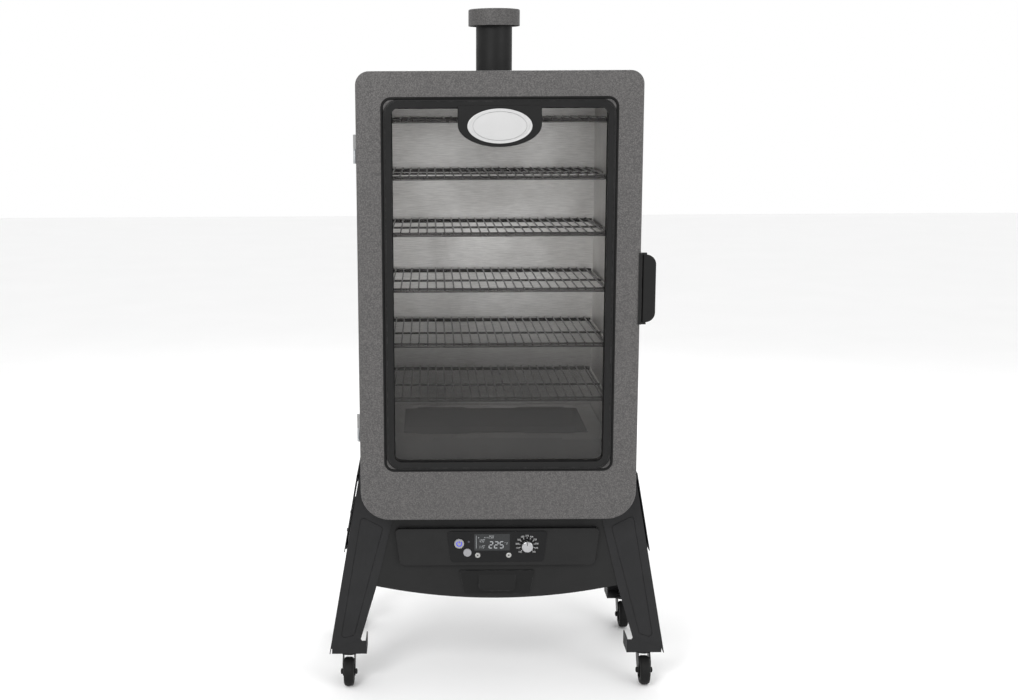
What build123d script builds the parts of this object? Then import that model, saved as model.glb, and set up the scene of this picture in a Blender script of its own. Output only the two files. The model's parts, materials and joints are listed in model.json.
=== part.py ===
from build123d import *
import os

# Vertical pellet smoker on a splayed sheet-metal stand. Millimetres, +Z up, the front faces -Y.
# The origin is on the floor, under the centre of the object's box.
# Depths (the "d" values) are measured backwards from the face of the door.

# ---------------------------------------------------------------- overall
HEIGHT = 1585.0
FRONT_REACH = 11.0          # the badge stands this far in front of the door's face
BACK_REACH = 660.0          # the hopper ends this far behind the door's face
DOOR_FACE_Y = -(BACK_REACH - FRONT_REACH) / 2
SHEET = 1.5
GAP = 0.4                   # clearance between pieces that move past each other

# ---------------------------------------------------------------- door and window
DOOR_HALF = 315.5
DOOR_BOTTOM = 425.0
DOOR_TOP = 1438.0
DOOR_DEPTH = 46.0
TOP_CORNER = 30.0
BOTTOM_CORNER = 67.0
SKIN_EDGE = 5.0
WINDOW_HALF = 237.5
WINDOW_BOTTOM = 563.5
WINDOW_TOP = 1359.0
WINDOW_CORNER = 18.0
FRAME_BAND = 18.0
FRAME_PROUD = 6.0
GLASS = 4.0
GLASS_DEPTH = 8.0
BEZEL_HALF = 92.0
BEZEL_STRAIGHT_Z = 1322.0
BEZEL_BOTTOM_Z = 1273.5
BADGE_Z = 1319.0
BADGE_WIDTH = 142.0
BADGE_HEIGHT = 75.0

# ---------------------------------------------------------------- cabinet
CAB_HALF = 313.0
CAB_BOTTOM = 426.5
CAB_TOP = 1436.0
CAB_FRONT = 50.0
CAB_BACK = 490.0
LINER_HALF = 262.0
LINER_BOTTOM = 470.0
LINER_TOP = 1402.0
LINER_BACK = 460.0
LINER_CORNER = 22.0

# ---------------------------------------------------------------- hinges and latch
HINGE_X = -319.8
HINGE_D = 48.0
HINGE_BARREL = 3.9
HINGE_PIN = 2.5
HINGE_FIT = 0.05
HINGE_BOTTOMS = (601.0, 1237.0)
HINGE_HEIGHT = 64.0
LATCH_X = 324.0
LATCH_D = 7.0
LATCH_BOTTOM = 878.0
LATCH_TOP = 1039.0
LATCH_PIN = 2.5
WING_TIP_X = 350.0
STRIKER_D = 80.0
STRIKER_Z = 958.0

# ---------------------------------------------------------------- racks, pan and deflector
RACK_COUNT = 6
RACK_TOP_Z = 1337.5
RACK_PITCH = 127.0
RACK_HALF = 256.0
RACK_FRONT = 62.0
RACK_BACK = 452.0
ROD = 3.4
ROD_PITCH = 20.0
POST_RADIUS = 1.5
POST_INSET = 1.1
CROSS_WIRE = 5.0
RACK_DROP = 10.0
MID_WIRE_D = 226.0
RAIL_WIDTH = 13.0
DEFLECTOR_Z = 598.0
PAN_HALF = 218.0
PAN_FRONT = 142.0
PAN_BACK = 403.0
PAN_DEPTH = 46.0
TAB_INNER_X = 66.5
TAB_OUTER_X = 187.0

# ---------------------------------------------------------------- chimney
PIPE_D = 283.0
PIPE_RADIUS = 42.5
PIPE_WALL = 2.0
PIPE_TOP = 1564.0
CAP_RADIUS = 60.5
CAP_HEIGHT = 38.0
STUD_RADIUS = 4.0

# ---------------------------------------------------------------- fire, feed and air
POT_D = 300.0
POT_RADIUS = 55.0
POT_HEIGHT = 75.0
POT_WALL = 3.0
AUGER_Z = 516.0
TUBE_RADIUS = 30.0
TUBE_WALL = 2.5
TUBE_BACK = 618.0
FLIGHT_RADIUS = 25.0
FLIGHT_PITCH = 42.0
SHAFT_RADIUS = 7.0
HOPPER_HALF = 215.0
HOPPER_BOTTOM = 462.0
HOPPER_TOP = 930.0
LID_HEIGHT = 16.0
LID_OVER = 3.0
LID_FRONT = 504.0
LID_HINGE_D = 507.0
LID_HINGE_Z = 937.0
EAR_THICKNESS = 2.6
EAR_REACH = 8.0             # each way from the pin
EAR_BOTTOM = 904.0
LID_PIN = 2.0
PROBE_REACH = 20.0
FAN_X = -120.0
FAN_D = 348.0
FAN_RADIUS = 62.0
FAN_HEIGHT = 44.0

# ---------------------------------------------------------------- stand
STAND_FRONT = 52.0
STAND_BACK = 488.0
LEG_SHEET = 2.0
LEG_BOTTOM = 80.0
LEG_TOP = 520.0
SPLAY = 0.1751              # how far the outer edge moves out for each mm downwards
LEG_HALF_AT_REF = 331.4     # half-width over the legs at SPLAY_REF_Z
SPLAY_REF_Z = 458.6
LEG_FLANGE = 60.0
SEAM_TOP = (238.0, 440.0)   # where leg and valance meet, as (x, z)
SEAM_BOTTOM = (284.0, 248.0)
ANKLE = (322.3, 118.5)
VALANCE_LOW_Z = 218.0
FOOT_INNER_X = 309.0
FOOT_DEPTH = 64.0
SIDE_OFFSET = 6.0
SIDE_BOTTOM = 330.0

# ---------------------------------------------------------------- casters
CASTER_X = 352.0
CASTER_FRONT_D = 84.0
CASTER_BACK_D = 456.0
TRAIL = 24.0
WHEEL_RADIUS = 34.0
WHEEL_WIDTH = 24.0
AXLE_RADIUS = 4.0
STEM_RADIUS = 5.0
FORK_HALF = 15.0
FORK_SHEET = 2.5
CROWN_RADIUS = 21.5
CROWN_TOP = 75.6
RACE_BOTTOM = 76.0

# ---------------------------------------------------------------- controls and drawer
FASCIA_TOP = (239.0, 391.0)     # half-width and z of its top edge
FASCIA_BOTTOM = (228.0, 302.0)
FASCIA_FACE = 43.0
PANEL_TOP = (117.6, 385.0)
PANEL_BOTTOM = (108.0, 310.5)
PANEL_FACE = 41.0
BOX_TOP = (105.0, 380.0)
BOX_BOTTOM = (98.0, 315.0)
BOX_BACK = 96.0
POWER_BUTTON = (-89.2, 356.0, 11.2)     # x, z and radius
PRIME_BUTTON = (-70.0, 334.0, 9.5)
KNOB = (69.3, 351.0, 13.6)
JACKS = ((-45.9, 327.4), (26.7, 327.4))
JACK_RADIUS = 6.3
JACK_BORE = 1.75
JACK_BORE_LENGTH = 14.0
DISPLAY = (-53.9, 28.8, 338.7, 378.6)   # left, right, bottom, top
DRAWER_TOP = (88.0, 286.5)
DRAWER_BOTTOM = (77.0, 230.0)
DRAWER_BACK = 262.0
TRAY_HALF = 72.0
TRAY_BOTTOM = 234.0
TRAY_TOP = 279.5
FLANGE_X = 78.0


# ---------------------------------------------------------------- helpers
def at_depth(d):
    """The Y coordinate of a depth behind the door's face."""
    return DOOR_FACE_Y + d


def block(x0, x1, d0, d1, z0, z1):
    """A box between two x values, two depths and two heights."""
    middle = Pos((x0 + x1) / 2, at_depth((d0 + d1) / 2), (z0 + z1) / 2)
    return middle * Box(x1 - x0, d1 - d0, z1 - z0)


def slab(outline, d0, d1):
    """An outline drawn in (x, z), given thickness from depth d0 back to depth d1."""
    return extrude(Plane.XZ.offset(-at_depth(d1)) * outline, amount=d1 - d0)


def side_slab(outline, x0, x1):
    """An outline drawn in (depth, z), given thickness from x0 to x1."""
    plane = Plane(origin=(x0, DOOR_FACE_Y, 0), x_dir=(0, 1, 0), z_dir=(1, 0, 0))
    return extrude(plane * outline, amount=x1 - x0)


def polygon(*points):
    """A closed outline through the points."""
    return make_face(Polyline(*points, close=True))


def rounded(half, z0, z1, top, bottom):
    """A centred upright rectangle with one radius at its top corners and one at its bottom ones."""
    shape = Pos(0, (z0 + z1) / 2) * Rectangle(2 * half, z1 - z0)
    shape = fillet(shape.vertices().group_by(Axis.Y)[-1], top)
    return fillet(shape.vertices().group_by(Axis.Y)[0], bottom)


def trapezoid(top, bottom, top_radius, bottom_radius, grow=0.0):
    """A centred trapezoid from (half-width, z) at its top and bottom, grown all round."""
    (half_top, z_top), (half_bottom, z_bottom) = top, bottom
    corners = ((-half_bottom, z_bottom), (half_bottom, z_bottom), (half_top, z_top), (-half_top, z_top))
    shape = polygon(*corners)
    shape = fillet(shape.vertices().group_by(Axis.Y)[-1], top_radius)
    shape = fillet(shape.vertices().group_by(Axis.Y)[0], bottom_radius)
    return offset(shape, grow) if grow else shape


def drum(x, d, z0, z1, radius):
    """An upright cylinder."""
    return Pos(x, at_depth(d), (z0 + z1) / 2) * Cylinder(radius, z1 - z0)


def rod_y(x, z, d0, d1, radius):
    """A cylinder that runs front to back."""
    return Pos(x, at_depth((d0 + d1) / 2), z) * Rot(90, 0, 0) * Cylinder(radius, d1 - d0)


def rod_x(x0, x1, d, z, radius):
    """A cylinder that runs left to right."""
    return Pos((x0 + x1) / 2, at_depth(d), z) * Rot(0, 90, 0) * Cylinder(radius, x1 - x0)


def hexagon(x, d, z0, z1, across_flats):
    """An upright hexagonal nut or bolt head."""
    face = Plane(origin=(x, at_depth(d), z0)) * RegularPolygon(across_flats / 2, 6, major_radius=False)
    return extrude(face, amount=z1 - z0)


def mirrored_x(shape):
    """The same shape on the other side of the centre plane."""
    return mirror(shape, Plane.YZ)


def leg_edge(z):
    """The half-width over the legs at a height."""
    return LEG_HALF_AT_REF + SPLAY * (SPLAY_REF_Z - z)


def cabinet_outline(inset=0.0):
    """The cabinet's outline, shrunk by an inset."""
    return rounded(CAB_HALF - inset, CAB_BOTTOM + inset, CAB_TOP - inset,
                   TOP_CORNER - inset, BOTTOM_CORNER - inset)


def liner_outline(grow=0.0):
    """The cooking chamber's outline, grown by the sheet's thickness where asked."""
    return rounded(LINER_HALF + grow, LINER_BOTTOM - grow, LINER_TOP + grow,
                   LINER_CORNER + grow, LINER_CORNER + grow)


def rack_z(index):
    """The height of a rack's top surface, counted from the top rack down."""
    return RACK_TOP_Z - RACK_PITCH * index


# ---------------------------------------------------------------- cabinet
DUCT_RADIUS = 20.0          # the air duct through the floor
PROBE = (1147.0, 400.0, 2.5)        # z, depth and radius of the temperature probe
PROBE_NUT = 8.0


def wall_passages():
    """Everything that passes through the cabinet's walls, as solids to cut out."""
    probe_z, probe_d, probe_radius = PROBE
    return (drum(0, PIPE_D, LINER_TOP - 5, CAB_TOP + 5, PIPE_RADIUS)
            + rod_y(0, AUGER_Z, LINER_BACK - 20, CAB_BACK + 5, TUBE_RADIUS)
            + drum(FAN_X, FAN_D, CAB_BOTTOM - 5, LINER_BOTTOM + 5, DUCT_RADIUS)
            + rod_x(-CAB_HALF - 5, -LINER_HALF + 5, probe_d, probe_z, probe_radius))


def cabinet_shell():
    inner = cabinet_outline(SHEET)
    shell = slab(cabinet_outline(), CAB_FRONT + SHEET, CAB_BACK) - slab(inner, 0, CAB_BACK - SHEET)
    return shell - wall_passages()


def cabinet_liner():
    tub = slab(liner_outline(SHEET), CAB_FRONT, LINER_BACK + SHEET)
    flange = slab(cabinet_outline(), CAB_FRONT, CAB_FRONT + SHEET)
    return tub + flange - slab(liner_outline(), 0, LINER_BACK) - wall_passages()


def cabinet_insulation():
    filling = slab(cabinet_outline(SHEET), CAB_FRONT + SHEET, CAB_BACK - SHEET)
    return filling - slab(liner_outline(SHEET), 0, LINER_BACK + SHEET) - wall_passages()


def rack_rails():
    rails = []
    for index in range(RACK_COUNT):
        ledge_top = rack_z(index) - RACK_DROP - CROSS_WIRE / 2 - GAP
        inner = LINER_HALF - RAIL_WIDTH
        angle = block(inner, LINER_HALF, CAB_FRONT + 14, LINER_BACK - 4, ledge_top - SHEET, ledge_top)
        upright = block(LINER_HALF - SHEET, LINER_HALF, CAB_FRONT + 14, LINER_BACK - 4,
                        ledge_top - 16, ledge_top)
        rail = angle + upright
        rails += [rail, mirrored_x(rail)]
    return rails


def temperature_probe():
    z, d, radius = PROBE
    tip = -LINER_HALF + PROBE_REACH
    nut = rod_x(-LINER_HALF, -LINER_HALF + 6, d, z, PROBE_NUT)
    return rod_x(-CAB_HALF - 4, tip, d, z, radius) + nut


# ---------------------------------------------------------------- racks
def rod_with_posts(x, top):
    """One grid rod: it runs front to back, with a post down to the lower wire at each end."""
    level = top - ROD / 2
    low = top - RACK_DROP
    run = rod_y(x, level, RACK_FRONT - POST_INSET, RACK_BACK + POST_INSET, ROD / 2)
    posts = [drum(x, d, low, level + POST_INSET, POST_RADIUS) for d in (RACK_FRONT, RACK_BACK)]
    return [run] + posts


def rack(index):
    top = rack_z(index)
    upper = top - ROD - CROSS_WIRE / 2 + 0.5
    lower = top - RACK_DROP
    wires = []
    for d, z in ((RACK_FRONT, lower), (RACK_BACK, lower), (RACK_FRONT + 7, upper),
                 (RACK_BACK - 7, upper), (MID_WIRE_D, upper)):
        wires.append(rod_x(-RACK_HALF, RACK_HALF, d, z, CROSS_WIRE / 2))
    for side in (-1, 1):
        x = side * (RACK_HALF - CROSS_WIRE / 2)
        wires.append(rod_y(x, lower, RACK_FRONT, RACK_BACK, CROSS_WIRE / 2))
        for d in (RACK_FRONT + 7, MID_WIRE_D, RACK_BACK - 7):
            wires.append(drum(x, d, lower, upper, CROSS_WIRE / 2 - 0.4))
    count = int((2 * RACK_HALF - 24) // ROD_PITCH)
    for step in range(count + 1):
        wires += rod_with_posts((step - count / 2) * ROD_PITCH, top)
    return Part() + wires


# ---------------------------------------------------------------- chimney
def chimney_pipe():
    tube = drum(0, PIPE_D, LINER_TOP - 2, PIPE_TOP, PIPE_RADIUS)
    collar = drum(0, PIPE_D, CAB_TOP, CAB_TOP + 3, PIPE_RADIUS + 18)
    bore = drum(0, PIPE_D, LINER_TOP - 4, HEIGHT, PIPE_RADIUS - PIPE_WALL)
    bar = block(-PIPE_RADIUS + 1, PIPE_RADIUS - 1, PIPE_D - 9, PIPE_D + 9, PIPE_TOP - 18, PIPE_TOP - 15)
    stud = drum(0, PIPE_D, PIPE_TOP - 18, HEIGHT - 1, STUD_RADIUS)
    return tube + collar - bore + bar + stud


def chimney_cap():
    bottom = HEIGHT - CAP_HEIGHT
    dome = drum(0, PIPE_D, bottom, HEIGHT, CAP_RADIUS)
    dome = fillet(dome.edges().filter_by(GeomType.CIRCLE).group_by(Axis.Z)[-1], 3)
    hollow = drum(0, PIPE_D, bottom - 1, HEIGHT - 2.5, CAP_RADIUS - 2)
    return dome - hollow - drum(0, PIPE_D, bottom, HEIGHT + 1, STUD_RADIUS + GAP)


# ---------------------------------------------------------------- fire, pan and feed
def heat_deflector():
    front = CAB_FRONT + 16
    back = LINER_BACK - 4
    half = LINER_HALF - 3
    top = block(-half, half, front, back, DEFLECTOR_Z - SHEET, DEFLECTOR_Z)
    skirt = block(-half, half, front, front + SHEET, LINER_BOTTOM + 12, DEFLECTOR_Z)
    hem = block(-150, 150, front, front + 6, DEFLECTOR_Z, DEFLECTOR_Z + 4)
    opening = block(-PAN_HALF - GAP - 2, PAN_HALF + GAP + 2, PAN_FRONT - GAP - 2, PAN_BACK + GAP + 2,
                    DEFLECTOR_Z - 5, DEFLECTOR_Z + 5)
    foot_half = half - LINER_CORNER - 10
    feet = [block(side * foot_half - 10, side * foot_half + 10, d, d + SHEET, LINER_BOTTOM, DEFLECTOR_Z)
            for side in (-1, 1) for d in (front, back - 20)]
    return Part() + [top, skirt, hem] + feet - opening


def water_pan():
    body = block(-PAN_HALF, PAN_HALF, PAN_FRONT, PAN_BACK, DEFLECTOR_Z - PAN_DEPTH, DEFLECTOR_Z + 2)
    body = fillet(body.edges().filter_by(Axis.Z), 12)
    wall = 1.6
    hollow = block(-PAN_HALF + wall, PAN_HALF - wall, PAN_FRONT + wall, PAN_BACK - wall,
                   DEFLECTOR_Z - PAN_DEPTH + wall, DEFLECTOR_Z + 10)
    hollow = fillet(hollow.edges().filter_by(Axis.Z), 12 - wall)
    tabs = []
    for side in (-1, 1):
        x0, x1 = sorted((side * TAB_INNER_X, side * TAB_OUTER_X))
        tabs.append(block(x0, x1, PAN_FRONT - 13, PAN_FRONT + 1, DEFLECTOR_Z + 0.3, DEFLECTOR_Z + 2))
        tabs.append(block(x0, x1, PAN_BACK - 1, PAN_BACK + 13, DEFLECTOR_Z + 0.3, DEFLECTOR_Z + 2))
    return Part() + [body - hollow] + tabs


def fire_pot():
    base = LINER_BOTTOM
    pot = drum(0, POT_D, base, base + POT_HEIGHT, POT_RADIUS)
    pot -= drum(0, POT_D, base + 4, base + POT_HEIGHT + 1, POT_RADIUS - POT_WALL)
    pot -= rod_y(0, AUGER_Z, POT_D + 20, POT_D + POT_RADIUS + 20, TUBE_RADIUS - TUBE_WALL)
    for step in range(12):
        spoke = Rot(0, 0, 15 + 30 * step) * Pos(POT_RADIUS - 2, 0, 0) * Rot(0, 90, 0) * Cylinder(3, 14)
        if abs(15 + 30 * step - 90) > 40:
            pot -= Pos(0, at_depth(POT_D), base + 14) * spoke
    return pot - rod_x(-POT_RADIUS - 5, -POT_RADIUS + 20, POT_D, base + 26, 5)


def igniter():
    z = LINER_BOTTOM + 26
    return rod_x(-POT_RADIUS - 70, -POT_RADIUS + 12, POT_D, z, 5) + rod_x(-POT_RADIUS - 74, -POT_RADIUS - 68,
                                                                          POT_D, z, 9)


def auger_tube():
    front = POT_D + POT_RADIUS + 4
    tube = rod_y(0, AUGER_Z, front, TUBE_BACK, TUBE_RADIUS)
    tube -= rod_y(0, AUGER_Z, front - 1, TUBE_BACK + 1, TUBE_RADIUS - TUBE_WALL)
    return tube - block(-22, 22, 520, 590, AUGER_Z + 10, AUGER_Z + 40)


def auger_screw():
    front = POT_D + POT_RADIUS - 12
    length = TUBE_BACK - 12 - front
    shaft = rod_y(0, AUGER_Z, front, TUBE_BACK + 24, SHAFT_RADIUS)
    helix = Helix(FLIGHT_PITCH, length - 6, (SHAFT_RADIUS + FLIGHT_RADIUS) / 2 - 0.5)
    blade = Plane(origin=helix @ 0, x_dir=(1, 0, 0), z_dir=helix % 0)
    profile = blade * Rectangle(FLIGHT_RADIUS - SHAFT_RADIUS + 1, 3)
    flight = sweep(profile, path=helix, binormal=Edge.make_line((0, 0, 0), (0, 0, length)))
    turned = Pos(0, at_depth(TUBE_BACK - 15), AUGER_Z) * Rot(90, 0, 0) * flight
    return shaft + turned


def auger_motor():
    bore = rod_y(0, AUGER_Z, TUBE_BACK, TUBE_BACK + 30, SHAFT_RADIUS + HINGE_FIT)
    box = block(-36, 36, TUBE_BACK + 0.5, TUBE_BACK + 34, AUGER_Z - 34, AUGER_Z + 30)
    box = fillet(box.edges().filter_by(Axis.Y), 6)
    can = rod_y(60, AUGER_Z + 2, TUBE_BACK - 26, TUBE_BACK + 30, 26)
    return box + can - bore


def hopper():
    front = CAB_BACK + 2
    wall = SHEET
    outer = block(-HOPPER_HALF, HOPPER_HALF, front, BACK_REACH, HOPPER_BOTTOM, HOPPER_TOP)
    outer = fillet(outer.edges().filter_by(Axis.Z), 8)
    inner = block(-HOPPER_HALF + wall, HOPPER_HALF - wall, front + wall, BACK_REACH - wall,
                  HOPPER_BOTTOM + wall, HOPPER_TOP + 1)
    inner = fillet(inner.edges().filter_by(Axis.Z), 8 - wall)
    casing = outer - inner - rod_y(0, AUGER_Z, front - 1, front + 5, TUBE_RADIUS)
    half = HOPPER_HALF - wall
    mouth, throat_half, throat_z = 700.0, 22.0, AUGER_Z + 32
    slopes = []
    for side in (-1, 1):
        profile = polygon((side * half, mouth), (side * throat_half, throat_z),
                          (side * throat_half, throat_z + 4), (side * half, mouth + 4))
        slopes.append(slab(profile, front + wall, 590.0))
    back = side_slab(polygon((BACK_REACH - wall, mouth + 60), (590.0, throat_z), (590.0, throat_z + 6),
                             (BACK_REACH - wall, mouth + 66)), -half, half)
    strip = outer & block(-HOPPER_HALF, HOPPER_HALF, front, LID_FRONT - 0.6, HOPPER_TOP - wall, HOPPER_TOP)
    return Part() + [casing, strip] + slopes + [back] + hopper_ears()


def hopper_ears():
    """A bracket each side of the hopper, with the pin stub that the lid turns on."""
    inner = HOPPER_HALF + LID_OVER + GAP
    outer = inner + EAR_THICKNESS
    front, back = LID_HINGE_D - EAR_REACH, LID_HINGE_D + EAR_REACH
    ears = []
    for side in (-1, 1):
        near, far, root = side * inner, side * outer, side * (HOPPER_HALF - 1)
        low = block(min(root, far), max(root, far), front, back, EAR_BOTTOM, HOPPER_TOP - 2)
        plate = block(min(near, far), max(near, far), front, back, EAR_BOTTOM, LID_HINGE_Z + 6)
        pin_ends = sorted((side * (HOPPER_HALF - 4), side * (inner + 1)))
        ears.append(low + plate + rod_x(pin_ends[0], pin_ends[1], LID_HINGE_D, LID_HINGE_Z, LID_PIN))
    return ears


def hopper_lid():
    half = HOPPER_HALF + LID_OVER
    lid = block(-half, half, LID_FRONT, BACK_REACH, HOPPER_TOP + GAP, HOPPER_TOP + LID_HEIGHT)
    lid = fillet(lid.edges().filter_by(Axis.Z), 8)
    lid = fillet(lid.faces().sort_by(Axis.Z)[-1].edges(), 3)
    hollow = block(-HOPPER_HALF + 6, HOPPER_HALF - 6, LID_FRONT + 8, BACK_REACH - 8, HOPPER_TOP,
                   HOPPER_TOP + LID_HEIGHT - 2)
    heel = block(-half - 1, half + 1, LID_FRONT - 1, LID_HINGE_D, HOPPER_TOP, LID_HINGE_Z - 3)
    bores = [rod_x(x - 8, x + 8, LID_HINGE_D, LID_HINGE_Z, LID_PIN + 0.05) for x in (-half, half)]
    grip = block(-60, 60, BACK_REACH - 44, BACK_REACH - 32, HOPPER_TOP + LID_HEIGHT - 1,
                 HOPPER_TOP + LID_HEIGHT + 14)
    grip = fillet(grip.edges().filter_by(Axis.X), 4)
    lid = lid - hollow - heel
    for bore in bores:
        lid = lid - bore
    return lid + grip


def fan_housing():
    top = CAB_BOTTOM
    bottom = top - FAN_HEIGHT
    body = drum(FAN_X, FAN_D, bottom, top, FAN_RADIUS)
    body -= drum(FAN_X, FAN_D, bottom + 2, top - 2, FAN_RADIUS - 2)
    body -= drum(FAN_X, FAN_D, bottom - 1, bottom + 3, 26)
    return body - drum(FAN_X, FAN_D, top - 3, top + 1, DUCT_RADIUS)


def fan_impeller():
    bottom = CAB_BOTTOM - FAN_HEIGHT + 5
    hub = drum(FAN_X, FAN_D, bottom, bottom + 30, 12)
    disc = drum(FAN_X, FAN_D, bottom + 28, bottom + 30, 50)
    blades = [Pos(FAN_X, at_depth(FAN_D), bottom + 14) * Rot(0, 0, 30 * step) * Pos(38, 0, 0)
              * Rot(0, 0, 30) * Box(24, 2, 28.4) for step in range(12)]
    return Part() + [hub, disc] + blades


# ---------------------------------------------------------------- stand
def leg_outline():
    """The front face of the right leg."""
    foot_z = LEG_BOTTOM + 12
    seam_corner = (leg_edge(SEAM_TOP[1] + 20) - 40, LEG_TOP - 20)
    return polygon(SEAM_TOP, seam_corner, (leg_edge(LEG_TOP) - 14, LEG_TOP),
                   (leg_edge(LEG_TOP), LEG_TOP), (leg_edge(foot_z), foot_z), ANKLE, SEAM_BOTTOM)


def leg_groove():
    """The pressed outline on a leg's face, as a closed ribbon."""
    shape = polygon((265.7, 393.0), (318.5, 421.0), (371.5, 116.0), (337.0, 127.6))
    shape = fillet(shape.vertices(), 9)
    return shape - offset(shape, -2.2)


def leg():
    """The right front leg with its welded foot."""
    face = slab(leg_outline(), STAND_FRONT, STAND_FRONT + LEG_SHEET)
    face -= slab(cabinet_outline(-1.5), 0, CAB_BACK)
    face -= slab(leg_groove(), STAND_FRONT - 1, STAND_FRONT + 1.4)
    low, high = (leg_edge(LEG_BOTTOM), LEG_BOTTOM), (leg_edge(LEG_TOP), LEG_TOP)
    strip = polygon(low, high, (high[0] - LEG_SHEET, high[1]), (low[0] - LEG_SHEET, low[1]))
    flange = slab(strip, STAND_FRONT, STAND_FRONT + LEG_FLANGE)
    back = STAND_FRONT + FOOT_DEPTH
    outer = leg_edge(LEG_BOTTOM) - 6
    sole = block(FOOT_INNER_X, outer, STAND_FRONT + 4, back, LEG_BOTTOM, LEG_BOTTOM + 2.5)
    lip = block(FOOT_INNER_X, outer, STAND_FRONT + 4, STAND_FRONT + 6, LEG_BOTTOM, LEG_BOTTOM + 12)
    gusset = slab(polygon((FOOT_INNER_X, LEG_BOTTOM), (outer, LEG_BOTTOM), (outer, LEG_BOTTOM + 20),
                          (ANKLE[0] + 4, ANKLE[1] + 4), (ANKLE[0] - 2, LEG_BOTTOM + 32),
                          (FOOT_INNER_X, LEG_BOTTOM + 32)),
                  STAND_FRONT + LEG_SHEET, STAND_FRONT + 4.5)
    inner = block(FOOT_INNER_X, FOOT_INNER_X + 2.5, STAND_FRONT + 4, back, LEG_BOTTOM, LEG_BOTTOM + 32)
    bearer = block(205, leg_edge(CAB_BOTTOM) - 1, STAND_FRONT + LEG_SHEET + 3, STAND_FRONT + LEG_FLANGE,
                   CAB_BOTTOM - 3, CAB_BOTTOM)
    rib = block(205, leg_edge(CAB_BOTTOM - 20) - 1, STAND_FRONT + LEG_FLANGE - 3, STAND_FRONT + LEG_FLANGE,
                CAB_BOTTOM - 25, CAB_BOTTOM)
    stem_hole = drum(CASTER_X, CASTER_FRONT_D, LEG_BOTTOM - 5, LEG_BOTTOM + 10, STEM_RADIUS)
    return Part() + [face, flange, sole, lip, gusset, inner, bearer, rib] - stem_hole


def turned_back(shape):
    """The same shape at the rear of the stand."""
    middle = at_depth((STAND_FRONT + STAND_BACK) / 2)
    return mirror(shape, Plane(origin=(0, middle, 0), z_dir=(0, 1, 0)))


def drawer_outline(grow=0.0):
    return trapezoid(DRAWER_TOP, DRAWER_BOTTOM, 3, 6, grow)


def fascia_outline(inset=0.0):
    return trapezoid(FASCIA_TOP, FASCIA_BOTTOM, 10, 15, -inset)


def panel_outline(grow=0.0):
    return trapezoid(PANEL_TOP, PANEL_BOTTOM, 8, 8, grow)


def box_outline(grow=0.0):
    return trapezoid(BOX_TOP, BOX_BOTTOM, 4, 4, grow)


def front_valance():
    corner_x, corner_z = SEAM_BOTTOM
    top_x, top_z = SEAM_TOP
    arch = ThreePointArc((-corner_x, corner_z), (0, VALANCE_LOW_Z), (corner_x, corner_z))
    sides = Polyline((corner_x, corner_z), (corner_x + 12, corner_z + 6), (top_x + 14, CAB_BOTTOM - 14),
                     (-top_x - 14, CAB_BOTTOM - 14), (-corner_x - 12, corner_z + 6), (-corner_x, corner_z))
    front = STAND_FRONT + LEG_SHEET
    plate = slab(make_face([arch, sides]), front, front + LEG_SHEET)
    tray_slot = block(-TRAY_HALF - 1, TRAY_HALF + 1, front - 1, front + 3, TRAY_BOTTOM - 1, TRAY_TOP + 1)
    flange_slot = block(-FLANGE_X - 1, FLANGE_X + 1, front - 1, front + 3, TRAY_TOP - 3, TRAY_TOP + 1)
    return plate - tray_slot - flange_slot - slab(fascia_outline(10), 0, CAB_BACK)


def stand_panels():
    """The two side skirts and the rear panel."""
    skirt_top, skirt_low = LEG_TOP - 2, SIDE_BOTTOM
    high, low = leg_edge(skirt_top) + SIDE_OFFSET, leg_edge(skirt_low) + SIDE_OFFSET
    strip = polygon((high, skirt_top), (low, skirt_low), (low - LEG_SHEET, skirt_low),
                    (high - LEG_SHEET, skirt_top))
    side = slab(strip, STAND_FRONT + 8, STAND_BACK - 8)
    for z in (skirt_top - 12, skirt_low + 12):
        x = leg_edge(z)
        side += block(x + 0.9, x + SIDE_OFFSET - 1, STAND_FRONT + 8, STAND_BACK - 8, z - 4, z + 4)
    rear = slab(polygon((-270, 300), (270, 300), (238, CAB_BOTTOM - 4), (-238, CAB_BOTTOM - 4)),
                STAND_BACK - 2 * LEG_SHEET, STAND_BACK - LEG_SHEET)
    inlet = block(106, 154, STAND_BACK - 20, STAND_BACK + 5, 336, 364)
    return [side, mirrored_x(side), rear - inlet]


def power_inlet():
    flange = block(98, 162, STAND_BACK - LEG_SHEET, STAND_BACK, 332, 368)
    body = block(106, 154, STAND_BACK - 26, STAND_BACK, 336, 364)
    socket = block(118, 142, STAND_BACK - 16, STAND_BACK + 1, 342, 358)
    return flange + body - socket


# ---------------------------------------------------------------- casters
def caster_places():
    """Every caster's name, x and depth."""
    return (("front_left", -CASTER_X, CASTER_FRONT_D), ("front_right", CASTER_X, CASTER_FRONT_D),
            ("rear_left", -CASTER_X, CASTER_BACK_D), ("rear_right", CASTER_X, CASTER_BACK_D))


def caster_stems():
    stems = []
    for _, x, d in caster_places():
        stem = drum(x, d, CROWN_TOP - 4.6, LEG_BOTTOM + 14, STEM_RADIUS)
        race = drum(x, d, RACE_BOTTOM, LEG_BOTTOM, 18)
        rivet = drum(x, d, CROWN_TOP - 6.0, CROWN_TOP - 3.0, 8)
        nut = hexagon(x, d, LEG_BOTTOM + 2.5, LEG_BOTTOM + 10, 17)
        stems.append(stem + race + rivet + nut)
    return stems


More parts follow.
